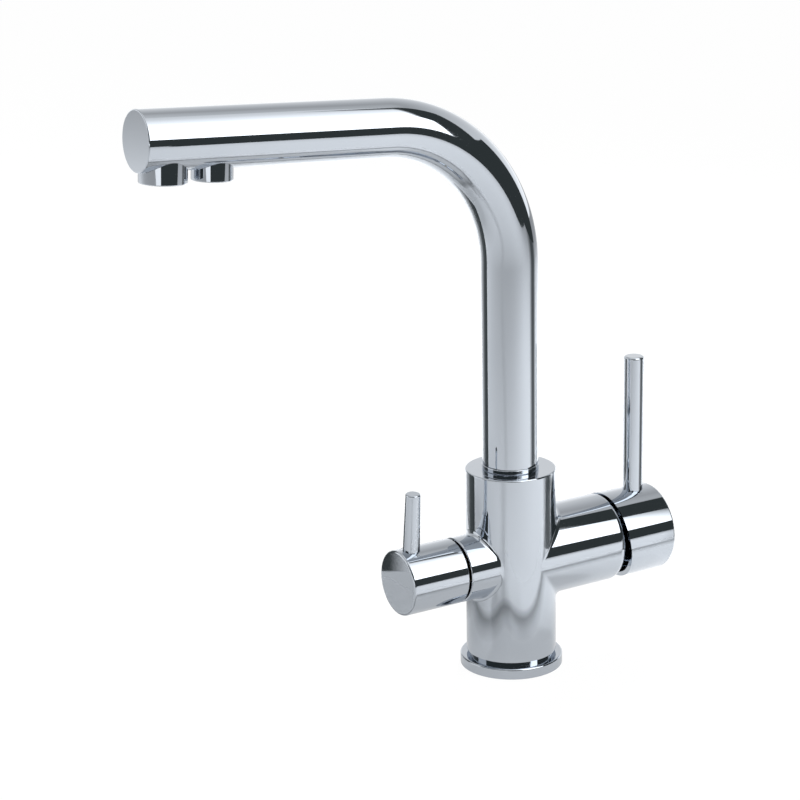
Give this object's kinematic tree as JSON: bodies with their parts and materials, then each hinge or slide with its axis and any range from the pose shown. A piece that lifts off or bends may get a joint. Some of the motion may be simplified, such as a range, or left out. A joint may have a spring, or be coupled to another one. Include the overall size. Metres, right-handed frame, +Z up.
{
  "type": "three-way sink mixer tap",
  "caption": "Tall chrome deck-mounted mixer tap with an L-shaped swivel spout, separate main and filtered-water outlets, a mixer lever on one side and a filter lever on the other.",
  "frame": {"origin": "middle of the base's underside, on the deck", "axes": "+Z up; +X along the handle axis towards the mixer lever; the spout points along -X at rest, over the filter lever"},
  "size_m": [0.314, 0.0576, 0.3357],
  "materials": {
    "chrome_body": "polished chrome plate on cast brass",
    "chrome_spout": "polished chrome plate on brass tube",
    "chrome_lever": "polished chrome plate on brass",
    "brass": "turned, bare",
    "stainless": "turned or drawn stainless steel",
    "black_rubber": "moulded",
    "white_acetal": "moulded",
    "aerator_plastic": "moulded grey",
    "black_plastic": "moulded black",
    "indicator_plastic": "moulded",
    "disc_ceramic": "lapped"
  },
  "bodies": {
    "tap_body": {"body_casting": "chrome_body", "base_flange": "chrome_body", "base_seal": "black_rubber", "spout_collar": "chrome_spout", "spout_retaining_screw": "stainless", "inner_tube_seal": "black_rubber", "cartridge_base": "white_acetal", "cartridge_base_seals": "black_rubber", "cartridge_housing": "white_acetal", "cartridge_fixed_disc": "disc_ceramic", "cartridge_nut": "brass", "headwork_bonnet": "brass", "headwork_seat_washer": "black_rubber", "headwork_fixed_disc": "disc_ceramic"},
    "spout": {"spout_tube": "chrome_spout", "spout_tip_cap": "chrome_spout", "spout_nipple": "brass", "spout_o_rings": "black_rubber", "spout_glide_ring": "white_acetal", "filtered_water_tube": "stainless", "main_outlet_housing": "chrome_spout", "main_aerator_insert": "aerator_plastic", "main_outlet_gasket": "black_rubber", "filter_outlet_housing": "chrome_spout", "filter_aerator_insert": "aerator_plastic", "filter_outlet_gasket": "black_rubber"},
    "mixer_sleeve": {"cartridge_sleeve": "white_acetal", "lever_pivot_pin": "stainless", "mixer_shroud": "black_plastic"},
    "mixer_handle": {"cartridge_stem": "brass", "mixer_cap": "chrome_lever", "mixer_lever_pin": "chrome_lever", "mixer_grub_screw": "stainless", "indicator_plug": "indicator_plastic"},
    "mixer_disc": {"cartridge_moving_disc": "disc_ceramic", "disc_carrier": "white_acetal"},
    "filter_handle": {"filter_handle_cap": "chrome_lever", "filter_lever_pin": "chrome_lever", "filter_grub_screw": "stainless", "headwork_spindle": "brass", "spindle_o_rings": "black_rubber", "spindle_circlip": "stainless", "headwork_moving_disc": "disc_ceramic"}
  },
  "joints": [
    {"name": "spout_swivel", "type": "hinge", "parent": "tap_body", "child": "spout", "pos_m": [0, 0, 0.115], "axis": [0, 0, 1], "continuous": true},
    {"name": "mixer_turn", "type": "hinge", "parent": "tap_body", "child": "mixer_sleeve", "pos_m": [0.043, 0, 0.062], "axis": [1, 0, 0], "range_deg": [-50, 50]},
    {"name": "mixer_tilt", "type": "hinge", "parent": "mixer_sleeve", "child": "mixer_handle", "pos_m": [0.043, 0, 0.062], "axis": [0, 1, 0], "range_deg": [0, 20]},
    {"name": "disc_slide", "type": "slide", "parent": "mixer_sleeve", "child": "mixer_disc", "axis": [0, 0, 1], "range_m": [0, 0.0042]},
    {"name": "filter_turn", "type": "hinge", "parent": "tap_body", "child": "filter_handle", "pos_m": [-0.04, 0, 0.062], "axis": [1, 0, 0], "range_deg": [-4.8, 85.2]}
  ],
  "couplings": [
    {"joint": "disc_slide", "follows": "mixer_tilt", "m_per_rad": 0.012}
  ]
}
